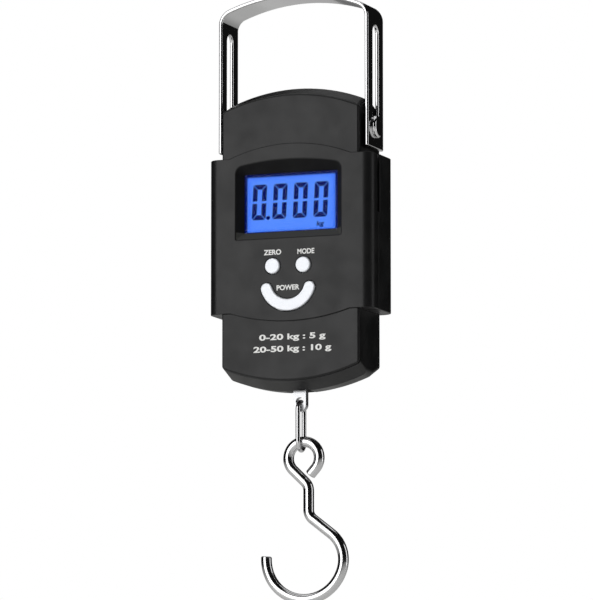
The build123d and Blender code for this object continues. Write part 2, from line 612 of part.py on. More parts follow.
def hook_link():
    """Oval link of round wire, from the tab's hole to the eye of the hook."""
    height = LINK_TOP_Z - LINK_BOTTOM_Z
    middle_z = (LINK_TOP_Z + LINK_BOTTOM_Z) / 2
    leg = height - 2 * LINK_HALF_WIDTH
    straight = [Pos(0, side * LINK_HALF_WIDTH, middle_z) * Cylinder(LINK_WIRE, leg) for side in (-1, 1)]
    bows = []
    for up in (-1, 1):
        ring = Pos(0, 0, middle_z + up * leg / 2) * Rot(0, 90, 0) * Torus(LINK_HALF_WIDTH, LINK_WIRE)
        z0, z1 = sorted((middle_z + up * leg / 2, middle_z + up * (leg / 2 + 10)))
        bows.append(ring & block(-5, 5, -10, 10, z0, z1))
    return straight[0] + straight[1] + bows[0] + bows[1]


def on_circle(x, z, radius, degrees):
    return (x + radius * cos(radians(degrees)), z + radius * sin(radians(degrees)))


def hook_wire_path():
    """Middle line of the hook wire, from the eye's cut end round to the point."""
    eye = CenterArc((HOOK_EYE_X, HOOK_EYE_Z), HOOK_EYE_RADIUS, HOOK_EYE_FROM, HOOK_EYE_TO - HOOK_EYE_FROM)
    start, end = radians(HOOK_EYE_FROM), radians(HOOK_EYE_TO)
    tail_x, tail_z = on_circle(HOOK_EYE_X, HOOK_EYE_Z, HOOK_EYE_RADIUS, HOOK_EYE_FROM)
    tail = Line((tail_x + HOOK_TAIL * sin(start), tail_z - HOOK_TAIL * cos(start)), eye @ 0)
    neck_x, neck_z = on_circle(HOOK_EYE_X, HOOK_EYE_Z, HOOK_EYE_RADIUS, HOOK_EYE_TO)
    stem_top = neck_z + (HOOK_STEM_X - neck_x) * cos(end) / -sin(end)

    bow = CenterArc((HOOK_BOW_X, HOOK_BOW_Z), HOOK_BOW_RADIUS, HOOK_SHOULDER_TO,
                    HOOK_POINT - HOOK_SHOULDER_TO)
    mid_x, mid_z = on_circle(HOOK_BOW_X, HOOK_BOW_Z, HOOK_BOW_RADIUS - HOOK_SHOULDER_RADIUS,
                             HOOK_SHOULDER_TO)
    shoulder = CenterArc((mid_x, mid_z), HOOK_SHOULDER_RADIUS, HOOK_SHOULDER_FROM,
                         HOOK_SHOULDER_TO - HOOK_SHOULDER_FROM)
    slope = radians(HOOK_SHOULDER_FROM)
    top_x, top_z = on_circle(mid_x, mid_z, HOOK_SHOULDER_RADIUS, HOOK_SHOULDER_FROM)
    stem_bottom = top_z + (top_x - HOOK_STEM_X) * cos(slope) / sin(slope)
    stem = FilletPolyline((neck_x, neck_z), (HOOK_STEM_X, stem_top), (HOOK_STEM_X, stem_bottom),
                          (top_x, top_z), radius=HOOK_STEM_BEND)
    return [tail, eye, stem, shoulder, bow]


def hook():
    """The wire hook: a closed eye, a cranked stem, and an open bow that takes the load."""
    path = upright(0) * Wire(Curve() + hook_wire_path())
    section = Plane(origin=path @ 0, z_dir=path % 0) * Circle(HOOK_WIRE)
    wire = sweep(section, path=path)
    cut_ends = wire.faces().filter_by(GeomType.PLANE)
    return fillet(cut_ends.edges(), HOOK_END_ROUND)


# ---- batteries ----
def battery(side):
    """AAA cell, its raised button up on the left and down on the right."""
    nub_length = 0.8
    can_length = BATTERY_LENGTH - nub_length
    low = TRAY_BOTTOM_Z + TRAY_WALL + 4.2
    up = side < 0
    can_z = low if up else TRAY_TOP_Z - TRAY_WALL - 4.2 - can_length
    can = along_z(BATTERY_RADIUS, can_z, can_z + can_length, side * BATTERY_X, BATTERY_Y)
    can = chamfer(can.edges().filter_by(GeomType.CIRCLE), 0.4)
    nub_z = can_z + can_length if up else can_z - nub_length
    return can + along_z(1.9, nub_z, nub_z + nub_length, side * BATTERY_X, BATTERY_Y)


def battery_tray():
    """Two open troughs joined behind the load cell, so that a cell lies on each side of it."""
    inner = BATTERY_X - POCKET_HALF_WIDTH
    outer = BATTERY_X + POCKET_HALF_WIDTH
    tray = Part()
    for side in (-1, 1):
        x0, x1 = sorted((side * (inner - TRAY_WALL), side * (outer + TRAY_WALL)))
        trough = block(x0, x1, TRAY_FLOOR_Y - TRAY_WALL, TRAY_BACK_Y, TRAY_BOTTOM_Z, TRAY_TOP_Z)
        x0, x1 = sorted((side * inner, side * outer))
        trough -= block(x0, x1, TRAY_FLOOR_Y, TRAY_BACK_Y + 1, TRAY_BOTTOM_Z + TRAY_WALL,
                        TRAY_TOP_Z - TRAY_WALL)
        tray += trough
    bridge = block(-inner + 0.1, inner - 0.1, TRAY_BRIDGE_Y, TRAY_BRIDGE_Y + 1.4,
                   TRAY_BOTTOM_Z, TRAY_TOP_Z)
    return tray + bridge


def contact_plates():
    """Nickel plates at both ends of each trough."""
    made = []
    for side in (-1, 1):
        x0, x1 = side * BATTERY_X - 4.5, side * BATTERY_X + 4.5
        for end in (-1, 1):
            face = TRAY_TOP_Z - TRAY_WALL if end > 0 else TRAY_BOTTOM_Z + TRAY_WALL
            z0, z1 = sorted((face - end * 0.02, face - end * 0.42))
            made.append(block(x0, x1, 1.2, 10.4, z0, z1))
    return Compound(children=made)


def contact_springs():
    """A coil spring behind the flat end of each cell."""
    wire, turns_radius, pitch, height = 0.35, 2.6, 1.05, 2.9
    made = []
    for side in (-1, 1):
        low = TRAY_BOTTOM_Z + TRAY_WALL + 0.42 + wire + 0.02
        if side > 0:
            low = TRAY_TOP_Z - TRAY_WALL - 0.42 - wire - 0.02 - height
        coil = Helix(pitch, height, turns_radius)
        section = Plane(origin=coil @ 0, z_dir=coil % 0) * Circle(wire)
        spring = sweep(section, path=coil, is_frenet=True)
        made.append(Pos(side * BATTERY_X, BATTERY_Y, low) * spring)
    return Compound(children=made)


# ---- leads ----
def lead(points, bend, radius):
    path = FilletPolyline(*points, radius=bend)
    section = Plane(origin=path @ 0, z_dir=path % 0) * Circle(radius)
    return sweep(section, path=path)


def gauge_leads():
    """Four fine wires from the strain gauges to the rear of the board."""
    made = []
    board_y = BOARD_BACK_Y + 0.02
    for side in (-1, 1):
        for row, drop in ((0, -2.0), (1, -0.6)):
            x = side * (CELL_HALF_WIDTH + 0.9)
            start_z = CELL_WINDOW_Z + 11.0
            top_z = TRAY_TOP_Z + 4.0 + 1.6 * row
            made.append(lead([(x, drop, start_z), (x, drop, top_z), (x, board_y, top_z)], 1.0, 0.3))
    return Compound(children=made)


def battery_leads():
    """Red and black wires from the upper contacts to the rear of the board."""
    made = []
    for side in (-1, 1):
        x = side * BATTERY_X
        top_z = TRAY_TOP_Z + 3.0
        points = [(x, 3.0, TRAY_TOP_Z + 0.02), (x, 3.0, top_z), (x, BOARD_BACK_Y + 0.02, top_z)]
        made.append(lead(points, 2.0, 0.6))
    return Compound(children=made)


def main():
    os.makedirs("parts", exist_ok=True)
    shell = case_shell()
    band = belt_shell()
    parts = {
        "handle_strap": handle_strap(),
        "guide_pin_left": guide_pin(-1),
        "guide_pin_right": guide_pin(1),
        "spacer_washers": spacer_washers(),
        "front_case": case_half(shell, front=True),
        "rear_case": case_half(shell, front=False),
        "case_screws": case_screws(),
        "front_cover": front_cover(band),
        "rear_cover": rear_cover(band),
        "battery_door": battery_door(),
        "window_lens": display_slab(21.2, 13.9, LENS_FRONT_Y, LENS_BACK_Y),
        "display_glass": display_slab(21.2, 13.9, LENS_BACK_Y + FIT, GLASS_BACK_Y),
        "light_panel": display_slab(21.0, 11.8, GLASS_BACK_Y + FIT, LIGHT_BACK_Y),
        "display_frame": display_frame(),
        "contact_strips": contact_strips(),
        "circuit_board": circuit_board(),
        "board_chips": board_chips(),
        "board_screws": board_screws(),
        "key_switches": key_switches(),
        "tare_key": key_cap(KEY_LEFT_X),
        "unit_key": key_cap(KEY_RIGHT_X),
        "power_key": power_key(),
        "cross_bar": cross_bar(),
        "cell_bolt": cell_bolt(),
        "load_cell": load_cell(),
        "strain_gauges": strain_gauges(),
        "gauge_leads": gauge_leads(),
        "hook_tab": hook_tab(),
        "hook_link": hook_link(),
        "hook": hook(),
        "battery_left": battery(-1),
        "battery_right": battery(1),
        "battery_tray": battery_tray(),
        "contact_plates": contact_plates(),
        "contact_springs": contact_springs(),
        "battery_leads": battery_leads(),
    }
    for name, shape in parts.items():
        export_step(shape, f"parts/{name}.step")
        print(name, len(shape.solids()), round(shape.volume))


main()
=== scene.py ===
# %% [markdown]
# # A digital hanging scale for fish
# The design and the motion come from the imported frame. This file gives every piece its finished
# mesh and material, then sets a camera, a pale floor and soft light round the scale. Sizes are
# millimetres, turned to metres once by MM, and places are read from the frame's own boxes.

# %% Load the frame
from math import asin, cos, pi, radians, sin, sqrt, tan

import bmesh
import bpy
from mathutils import Matrix, Vector


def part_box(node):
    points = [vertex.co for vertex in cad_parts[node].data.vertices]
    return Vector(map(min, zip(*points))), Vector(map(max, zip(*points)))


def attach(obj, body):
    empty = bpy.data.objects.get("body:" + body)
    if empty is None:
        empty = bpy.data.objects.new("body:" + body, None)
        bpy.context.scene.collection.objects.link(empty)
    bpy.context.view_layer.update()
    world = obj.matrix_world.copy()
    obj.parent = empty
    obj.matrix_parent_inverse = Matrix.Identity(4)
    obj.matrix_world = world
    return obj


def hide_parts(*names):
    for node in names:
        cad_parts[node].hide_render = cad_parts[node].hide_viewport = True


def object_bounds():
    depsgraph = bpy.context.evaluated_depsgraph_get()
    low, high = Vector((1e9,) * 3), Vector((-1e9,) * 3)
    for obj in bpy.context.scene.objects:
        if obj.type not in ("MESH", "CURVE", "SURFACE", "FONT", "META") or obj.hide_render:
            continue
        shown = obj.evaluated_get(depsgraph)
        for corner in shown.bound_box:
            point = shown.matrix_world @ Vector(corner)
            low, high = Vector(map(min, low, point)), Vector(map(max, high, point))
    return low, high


MM = 0.001
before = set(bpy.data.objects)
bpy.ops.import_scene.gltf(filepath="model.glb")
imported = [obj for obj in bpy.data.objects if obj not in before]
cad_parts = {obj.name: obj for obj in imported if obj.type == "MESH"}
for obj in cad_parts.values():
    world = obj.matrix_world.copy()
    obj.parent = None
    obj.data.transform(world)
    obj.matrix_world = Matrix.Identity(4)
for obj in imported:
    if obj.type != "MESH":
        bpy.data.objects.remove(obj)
cad_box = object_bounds()
centre_z = (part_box("front_case")[0].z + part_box("front_case")[1].z) / 2
print("middle of the case, mm:", round(centre_z / MM, 2))

# %% [markdown]
# ## Colour and nodes
# A colour is written as the sRGB hex that a screen shows. Blender works in linear light, so one
# function turns hex to linear. One more adds a node, sets its values and makes its links: a value
# that is a socket is linked, and anything else is set.


# %% Two small helpers
def linear(hex_colour):
    """An sRGB hex colour as linear RGBA."""
    parts = [int(hex_colour[i:i + 2], 16) / 255 for i in (1, 3, 5)]
    curve = [p / 12.92 if p <= 0.04045 else ((p + 0.055) / 1.055) ** 2.4 for p in parts]
    return (*curve, 1.0)


def add_node(tree, kind, inputs=None, **settings):
    """Adds one node to a tree and returns it."""
    made = tree.nodes.new(kind)
    for name, value in settings.items():
        setattr(made, name, value)
    for name, value in (inputs or {}).items():
        if isinstance(value, bpy.types.NodeSocket):
            tree.links.new(value, made.inputs[name])
        else:
            made.inputs[name].default_value = value
    return made


def start_material(name, **sockets):
    """A new Principled material: returns it, its tree, its shader and the piece's own coordinates."""
    made = bpy.data.materials.new(name)
    made.use_nodes = True
    tree = made.node_tree
    shader = tree.nodes["Principled BSDF"]
    for socket, value in sockets.items():
        shader.inputs[socket.replace("_", " ")].default_value = value
    place = add_node(tree, "ShaderNodeTexCoord").outputs["Object"]
    return made, tree, shader, place


def per_metre(size_mm):
    """The scale of a texture whose features are this many millimetres across."""
    return 1 / (size_mm * MM)


print("a middle grey in linear light:", [round(c, 4) for c in linear("#808080")[:3]])

# %% [markdown]
# ## Black ABS, moulded
# The case is injection-moulded ABS from a tool with a fine spark finish. To the eye it is dark,
# with a broad soft sheen and hardly any sparkle. Grain in the tool is 0.1 mm, too fine to show, so
# it is drawn at 0.5 mm. Handling leaves patches a few millimetres across that are a bit glossier.


# %% Black ABS
CASE_FINISH = ("#0e0e0f", 0.38, 0.5, 0.006, 0.3)
PATCH_MM = 9.0
PATCH_GLOSS = 0.06               # roughness more or less from patch to patch


def moulded(name, colour, roughness, grain_mm, grain_depth_mm, specular=0.5):
    made, tree, shader, place = start_material(name)
    shader.inputs["Specular IOR Level"].default_value = specular
    grain = add_node(tree, "ShaderNodeTexNoise",
                     {"Vector": place, "Scale": per_metre(grain_mm), "Detail": 3.0, "Roughness": 0.6})
    patches = add_node(tree, "ShaderNodeTexNoise",
                       {"Vector": place, "Scale": per_metre(PATCH_MM), "Detail": 2.0})
    tint = add_node(tree, "ShaderNodeMix", {"Factor": patches.outputs["Fac"]}, data_type="RGBA")
    tint.inputs["A"].default_value = [c * 0.85 for c in linear(colour)[:3]] + [1.0]
    tint.inputs["B"].default_value = [min(1.0, c * 1.15) for c in linear(colour)[:3]] + [1.0]
    gloss = add_node(tree, "ShaderNodeMapRange", {
        "Value": patches.outputs["Fac"], "From Min": 0.3, "From Max": 0.7,
        "To Min": roughness - PATCH_GLOSS, "To Max": roughness + PATCH_GLOSS})
    bump = add_node(tree, "ShaderNodeBump", {
        "Height": grain.outputs["Fac"], "Strength": 1.0, "Distance": grain_depth_mm * MM})
    tree.links.new(tint.outputs["Result"], shader.inputs["Base Color"])
    tree.links.new(gloss.outputs["Result"], shader.inputs["Roughness"])
    tree.links.new(bump.outputs["Normal"], shader.inputs["Normal"])
    return made


black_abs = moulded("black_abs_spark_finish", *CASE_FINISH)
inner_abs = moulded("black_abs_inside", "#101011", 0.55, 0.8, 0.01)
nylon = moulded("natural_nylon", "#d9d6cb", 0.45, 1.0, 0.01)
chip_resin = moulded("chip_resin", "#17171a", 0.6, 0.3, 0.01)
print("moulded materials made")

# %% [markdown]
# ## The recess round the window
# The walls of the window's recess are left dull, so that they don't mirror the display, and are given
# a darker colour as painted shade. The sill under it is given a paler colour as a painted sheen of
# the light falling on it. Position tests pick out the walls and the sill.

# %% Dull walls with painted shade and a sill with a painted sheen, on the front's own black
RECESS_HALF_WIDTH = 23.4 * MM
SILL_LOW_Z = centre_z - 1 * MM
SILL_HIGH_Z = centre_z + 2.75 * MM
FACE_SKIN = 0.25 * MM            # the recess is what lies further back than this
EXTRA_DULL = 0.5                 # added to the roughness inside the recess
cover_front_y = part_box("front_cover")[0].y
lens_low, lens_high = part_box("window_lens")
front_abs = moulded("black_abs_front", *CASE_FINISH)
tree = front_abs.node_tree
shader = tree.nodes["Principled BSDF"]
spot = add_node(tree, "ShaderNodeSeparateXYZ", {
    "Vector": add_node(tree, "ShaderNodeTexCoord").outputs["Object"]})
behind_face = add_node(tree, "ShaderNodeMath", {
    0: spot.outputs["Y"], 1: cover_front_y + FACE_SKIN}, operation="GREATER_THAN")
in_width = add_node(tree, "ShaderNodeMath", {
    0: spot.outputs["X"], 1: (lens_low.x + lens_high.x) / 2, 2: RECESS_HALF_WIDTH}, operation="COMPARE")
above = add_node(tree, "ShaderNodeMath", {
    0: spot.outputs["Z"], 1: SILL_LOW_Z}, operation="GREATER_THAN")
over_sill = add_node(tree, "ShaderNodeMath", {
    0: spot.outputs["Z"], 1: SILL_HIGH_Z}, operation="GREATER_THAN")
column = add_node(tree, "ShaderNodeMath", {
    0: behind_face.outputs["Value"], 1: in_width.outputs["Value"]}, operation="MULTIPLY")
recess = add_node(tree, "ShaderNodeMath", {
    0: column.outputs["Value"], 1: above.outputs["Value"]}, operation="MULTIPLY")
walls = add_node(tree, "ShaderNodeMath", {
    0: recess.outputs["Value"], 1: over_sill.outputs["Value"]}, operation="MULTIPLY")
sill = add_node(tree, "ShaderNodeMath", {
    0: recess.outputs["Value"], 1: walls.outputs["Value"]}, operation="SUBTRACT")
own_gloss = shader.inputs["Roughness"].links[0].from_socket
dull = add_node(tree, "ShaderNodeMath", {
    0: recess.outputs["Value"], 1: EXTRA_DULL, 2: own_gloss}, operation="MULTIPLY_ADD")
tree.links.new(dull.outputs["Value"], shader.inputs["Roughness"])
own_tint = shader.inputs["Base Color"].links[0].from_socket
# Painted shade: the recess walls are coloured darker than the black, where shade falls in the deep
# recess.
painted_wall_shade = add_node(tree, "ShaderNodeMix", {"Factor": walls.outputs["Value"]}, data_type="RGBA")
painted_wall_shade.inputs["B"].default_value = linear("#060607")
tree.links.new(own_tint, painted_wall_shade.inputs["A"])
# Painted sheen: the sill is coloured paler, standing in for the light that falls on its slope.
painted_sill_sheen = add_node(tree, "ShaderNodeMix", {"Factor": sill.outputs["Value"]}, data_type="RGBA")
painted_sill_sheen.inputs["B"].default_value = linear("#3b3b38")
tree.links.new(painted_wall_shade.outputs["Result"], painted_sill_sheen.inputs["A"])
tree.links.new(painted_sill_sheen.outputs["Result"], shader.inputs["Base Color"])
print("window recess starts behind y, mm:", round(cover_front_y / MM, 2))

# %% [markdown]
# ## Polished steel
# The strap is stainless steel, polished along its length on a wheel, so it mirrors the room and
# keeps very fine lines. The lines are stretched noise. Polishing grit leaves marks about 0.05 mm
# apart, too fine to show, so they are drawn 0.3 mm apart. The hook and link are nickel-plated wire:
# just as bright, with faint pits and slightly uneven gloss.


# %% Metals
def polished(name, colour, roughness, grain_mm, depth_mm, spread=0.05):
    """grain_mm is the size of the pattern along X, Y and Z."""
    made, tree, shader, place = start_material(name, Metallic=1.0)
    shader.inputs["Base Color"].default_value = linear(colour)
    stretched = add_node(tree, "ShaderNodeMapping", {
        "Vector": place, "Scale": [per_metre(size) for size in grain_mm]})
    lines = add_node(tree, "ShaderNodeTexNoise", {
        "Vector": stretched.outputs["Vector"], "Scale": 1.0, "Detail": 4.0, "Roughness": 0.65})
    gloss = add_node(tree, "ShaderNodeMapRange", {
        "Value": lines.outputs["Fac"], "From Min": 0.3, "From Max": 0.7,
        "To Min": roughness, "To Max": roughness + spread})
    bump = add_node(tree, "ShaderNodeBump", {
        "Height": lines.outputs["Fac"], "Strength": 1.0, "Distance": depth_mm * MM})
    tree.links.new(gloss.outputs["Result"], shader.inputs["Roughness"])
    tree.links.new(bump.outputs["Normal"], shader.inputs["Normal"])
    return made


strap_steel = polished("stainless_polished_lengthwise", "#dcdcdd", 0.07, (12, 0.3, 12), 0.0008)
wire_nickel = polished("nickel_plated_wire", "#cfcfd0", 0.09, (0.6, 0.6, 2.5), 0.002, 0.1)
zinc = polished("zinc_plated_steel", "#b9babc", 0.28, (0.5, 0.5, 0.5), 0.004, 0.15)
spring_nickel = polished("nickel_spring_strip", "#c9c4b8", 0.2, (4, 0.4, 0.4), 0.002)
milled_alloy = polished("milled_aluminium", "#d6d7d9", 0.3, (20, 20, 0.4), 0.004, 0.12)
print("metals made")

# %% [markdown]
# ## Lacquered keys
# The keys are moulded and sprayed with pearl-white lacquer. Under the lacquer are fine metallic
# flakes, so the finish starts from a light base with a clear coat on top.

# %% Lacquer
key_lacquer, tree, shader, place = start_material(
    "pearl_white_lacquer", Roughness=0.3, Metallic=0.15, Coat_Weight=0.7, Coat_Roughness=0.06)
flakes = add_node(tree, "ShaderNodeTexVoronoi", {"Vector": place, "Scale": per_metre(0.35)})
pearl = add_node(tree, "ShaderNodeMix", {"Factor": flakes.outputs["Distance"]}, data_type="RGBA")
pearl.inputs["A"].default_value = linear("#e6e8ed")
pearl.inputs["B"].default_value = linear("#d9dce2")
tree.links.new(pearl.outputs["Result"], shader.inputs["Base Color"])
print("key lacquer made")

# %% [markdown]
# ## The lit display
# The display is lit from behind: a light guide shines evenly through blue glass, a bit brighter in the
# middle and deep blue at the rim. The rim is partly where the guide ends and partly painted shade of
# the window's frame. The dark figures let no light through.

# %% Display materials
glass_low, glass_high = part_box("display_glass")
lit_middle = (glass_low + glass_high) / 2 + Vector((-0.2 * MM, 0, -0.4 * MM))
LIT_HALF_WIDTH = 19.3
LIT_HALF_HEIGHT = 11.35
RIM = 1.12                       # the pattern runs this far past the lit area

lit_blue, tree, shader, place = start_material(
    "backlit_blue_cell", Roughness=0.4, Specular_IOR_Level=0.0)
shader.inputs["Base Color"].default_value = linear("#060b2c")
centred = add_node(tree, "ShaderNodeVectorMath", {0: place, 1: lit_middle}, operation="SUBTRACT")
squared = add_node(tree, "ShaderNodeMapping", {
    "Vector": centred.outputs["Vector"],
    "Scale": [per_metre(LIT_HALF_WIDTH * RIM), 0.0, per_metre(LIT_HALF_HEIGHT * RIM)]})
axes = add_node(tree, "ShaderNodeSeparateXYZ", {"Vector": squared.outputs["Vector"]})
across = add_node(tree, "ShaderNodeMath", {0: axes.outputs["X"]}, operation="ABSOLUTE")
upward = add_node(tree, "ShaderNodeMath", {0: axes.outputs["Z"]}, operation="ABSOLUTE")
nearest = add_node(tree, "ShaderNodeMath", {
    0: across.outputs["Value"], 1: upward.outputs["Value"], 2: 0.06}, operation="SMOOTH_MAX")
# The ramp darkens towards the rim: partly the guide's falloff, partly painted shade from the window's
# frame.
falloff_and_frame_shade = add_node(tree, "ShaderNodeValToRGB", {"Fac": nearest.outputs["Value"]})
falloff_and_frame_shade.color_ramp.elements[0].position = 0.0
falloff_and_frame_shade.color_ramp.elements[0].color = linear("#5590ff")
falloff_and_frame_shade.color_ramp.elements[1].position = 1.0
falloff_and_frame_shade.color_ramp.elements[1].color = linear("#01062a")
for stop, colour in ((0.80, "#4f88fa"), (0.88, "#3d74f0"), (0.905, "#03105c")):
    falloff_and_frame_shade.color_ramp.elements.new(stop).color = linear(colour)
tree.links.new(falloff_and_frame_shade.outputs["Color"], shader.inputs["Emission Color"])
shader.inputs["Emission Strength"].default_value = 1.0

figure_ink, tree, shader, place = start_material(
    "dark_figures", Roughness=0.6, Specular_IOR_Level=0.0)
shader.inputs["Base Color"].default_value = linear("#02051e")
shader.inputs["Emission Color"].default_value = linear("#020c5c")
shader.inputs["Emission Strength"].default_value = 0.8
ink_grain = add_node(tree, "ShaderNodeTexNoise", {"Vector": place, "Scale": per_metre(0.5)})
ink_bump = add_node(tree, "ShaderNodeBump", {
    "Height": ink_grain.outputs["Fac"], "Distance": 0.001 * MM})
tree.links.new(ink_bump.outputs["Normal"], shader.inputs["Normal"])

clear_acrylic, tree, shader, place = start_material(
    "clear_acrylic_with_antiglare_coat", Roughness=0.0, IOR=1.12, Transmission_Weight=1.0)
haze = add_node(tree, "ShaderNodeTexNoise", {"Vector": place, "Scale": per_metre(12)})
haze_mix = add_node(tree, "ShaderNodeMix", {"Factor": haze.outputs["Fac"]}, data_type="RGBA")
haze_mix.inputs["A"].default_value = linear("#f6f8ff")
haze_mix.inputs["B"].default_value = linear("#ffffff")
tree.links.new(haze_mix.outputs["Result"], shader.inputs["Base Color"])

print_white, tree, shader, place = start_material("white_pad_print", Roughness=0.5)
speckle = add_node(tree, "ShaderNodeTexNoise", {"Vector": place, "Scale": per_metre(0.4)})
ink_mix = add_node(tree, "ShaderNodeMix", {"Factor": speckle.outputs["Fac"]}, data_type="RGBA")
ink_mix.inputs["A"].default_value = linear("#d4d4d2")
ink_mix.inputs["B"].default_value = linear("#f4f4f2")
tree.links.new(ink_mix.outputs["Result"], shader.inputs["Base Color"])
print("display and print made")

# %% [markdown]
# ## What is inside
# The board is green-lacquered glass fibre, and its woven cloth just shows as a fine grid. The cells
# have a coloured foil jacket with a plain band. Leads are glossy PVC, contact strips silicone.

# %% Inner materials
board_green, tree, shader, place = start_material("green_board_lacquer", Roughness=0.3)
weave = add_node(tree, "ShaderNodeTexChecker", {
    "Vector": place, "Scale": per_metre(1.2), "Color1": linear("#0f5a30"), "Color2": linear("#126638")})
tree.links.new(weave.outputs["Color"], shader.inputs["Base Color"])

cell_jacket, tree, shader, place = start_material("cell_foil_jacket", Roughness=0.3, Metallic=0.6)
cell_low, cell_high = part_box("battery_left")
along = add_node(tree, "ShaderNodeSeparateXYZ", {"Vector": place})
band = add_node(tree, "ShaderNodeMapRange", {
    "Value": along.outputs["Z"], "From Min": cell_low.z, "From Max": cell_high.z})
jacket = add_node(tree, "ShaderNodeValToRGB", {"Fac": band.outputs["Result"]})
jacket.color_ramp.interpolation = "CONSTANT"
jacket.color_ramp.elements[0].color = linear("#c8c9cb")
jacket.color_ramp.elements[1].color = linear("#c8c9cb")
jacket.color_ramp.elements[1].position = 0.95
for stop, colour in ((0.04, "#1d3f86"), (0.66, "#d9a13a")):
    jacket.color_ramp.elements.new(stop).color = linear(colour)
tree.links.new(jacket.outputs["Color"], shader.inputs["Base Color"])

lead_pvc = moulded("red_pvc_lead", "#8e1a18", 0.3, 2.0, 0.004)
strip_silicone = moulded("grey_silicone", "#4a4b4f", 0.7, 0.4, 0.01)
guide_milk = moulded("milky_light_guide", "#cfe0ff", 0.4, 3.0, 0.002)
gauge_film = moulded("amber_gauge_film", "#a8641c", 0.3, 1.0, 0.002)

# %% [markdown]
# ## Finishes for the pieces that keep their designed shape
# A piece whose shape is already right only needs its material. Its mesh isn't touched.

# %% Give the kept pieces their materials
kept = {
    inner_abs: ["battery_tray", "spacer_washers"],
    nylon: ["display_frame"],
    zinc: ["case_screws", "board_screws", "cross_bar", "cell_bolt", "hook_tab"],
    spring_nickel: ["contact_plates", "contact_springs"],
    milled_alloy: ["load_cell"],
    wire_nickel: ["hook_link", "hook"],
    key_lacquer: ["tare_key", "unit_key", "power_key"],
    lit_blue: ["display_glass"],
    clear_acrylic: ["window_lens"],
    guide_milk: ["light_panel"],
    strip_silicone: ["contact_strips"],
    board_green: ["circuit_board"],
    chip_resin: ["board_chips", "key_switches"],
    gauge_film: ["strain_gauges"],
    lead_pvc: ["gauge_leads", "battery_leads"],
    cell_jacket: ["battery_left", "battery_right"],
    strap_steel: ["guide_pin_left", "guide_pin_right"],
    black_abs: ["front_case", "rear_case"],
}
for finish, names in kept.items():
    for name in names:
        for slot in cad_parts[name].material_slots:
            slot.material = finish
print(sum(len(names) for names in kept.values()), "pieces keep their designed mesh")

# %% [markdown]
# ## Making a piece
# Every new mesh ends the same way: smooth faces with sharp edges kept by angle, one material, and
# a ride on the body that it moves with.


# %% Finish a mesh as a piece
def finish_piece(name, mesh_work, body, slot, finish, *stands_for, sharp=40):
    """Turns a bmesh into a finished piece of the scale."""
    mesh = bpy.data.meshes.new(name)
    mesh_work.to_mesh(mesh)
    mesh_work.free()
    mesh.materials.append(finish)
    mesh.polygons.foreach_set("use_smooth", [True] * len(mesh.polygons))
    mesh.set_sharp_from_angle(angle=radians(sharp))
    made = bpy.data.objects.new(name, mesh)
    bpy.context.scene.collection.objects.link(made)
    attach(made, body)
    if stands_for:
        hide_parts(*stands_for)
    print(f"{name}: {len(mesh.polygons)} faces on {body}")
    return made


def round_edges(piece, radius_mm, segments=3, angle=40):
    """A live bevel on every edge sharper than the angle."""
    bevel = piece.modifiers.new("round_edges", "BEVEL")
    bevel.width = radius_mm * MM
    bevel.segments = segments
    bevel.limit_method = "ANGLE"
    bevel.angle_limit = radians(angle)
    bevel.use_clamp_overlap = False
    bevel.harden_normals = False
    bevel.miter_outer = "MITER_ARC"
    shade = piece.modifiers.new("even_shading", "WEIGHTED_NORMAL")
    shade.keep_sharp = True
    shade.weight = 60


# %% [markdown]
# ## The moulded band and the battery door
# These come from a mould, so no edge is truly sharp: each has a 0.3 mm radius that catches a thin
# line of light. The designed mesh is copied, its loose triangles are merged and its flat faces
# joined, and then a Bevel modifier rounds what is left.


# %% Copy a designed shell with rounded edges
def soften(node, name, body, slot, finish, radius_mm, angle=40):
    mesh_work = bmesh.new()
    mesh_work.from_mesh(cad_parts[node].data)
    bmesh.ops.remove_doubles(mesh_work, verts=mesh_work.verts, dist=0.002 * MM)
    bmesh.ops.dissolve_limit(mesh_work, angle_limit=radians(0.5), verts=mesh_work.verts,
                             edges=mesh_work.edges, delimit=set())
    made = finish_piece(name, mesh_work, body, slot, finish, node, sharp=angle)
    round_edges(made, radius_mm, angle=angle)


soften("front_cover", "band_front", "case", "black_shell", front_abs, 0.3, angle=24)
soften("rear_cover", "band_rear", "case", "black_shell", black_abs, 0.3)
soften("battery_door", "door_leaf", "door", "black_shell", black_abs, 0.2)

# %% [markdown]
# ## The strap handle
# On a bench this is one flat strip, slotted and then bent. It is made the same way here: a grid
# for the arch, an extruded edge for each leg, a bevel for each bend, and Solidify's operator for
# the thickness, which goes inwards from the outer face. The slots are cut by a cylinder pulled
# apart at its middle.

# %% Bend the strip
strap_low, strap_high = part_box("handle_strap")
THICKNESS = 1.6 * MM
BEND_RADIUS = 6.6 * MM           # like the arch's, at the outer face of the strip
ARCH_RADIUS = 78.9 * MM
ARCH_COLUMNS = 40
BEND_CLEARANCE = 0.3 * MM        # from the arch's last column to the start of the bend
strip_half = strap_high.x
crown_z = strap_high.z
bend_turn = pi / 2 - asin(strip_half / ARCH_RADIUS)
bend_reach = BEND_RADIUS * tan(bend_turn / 2)

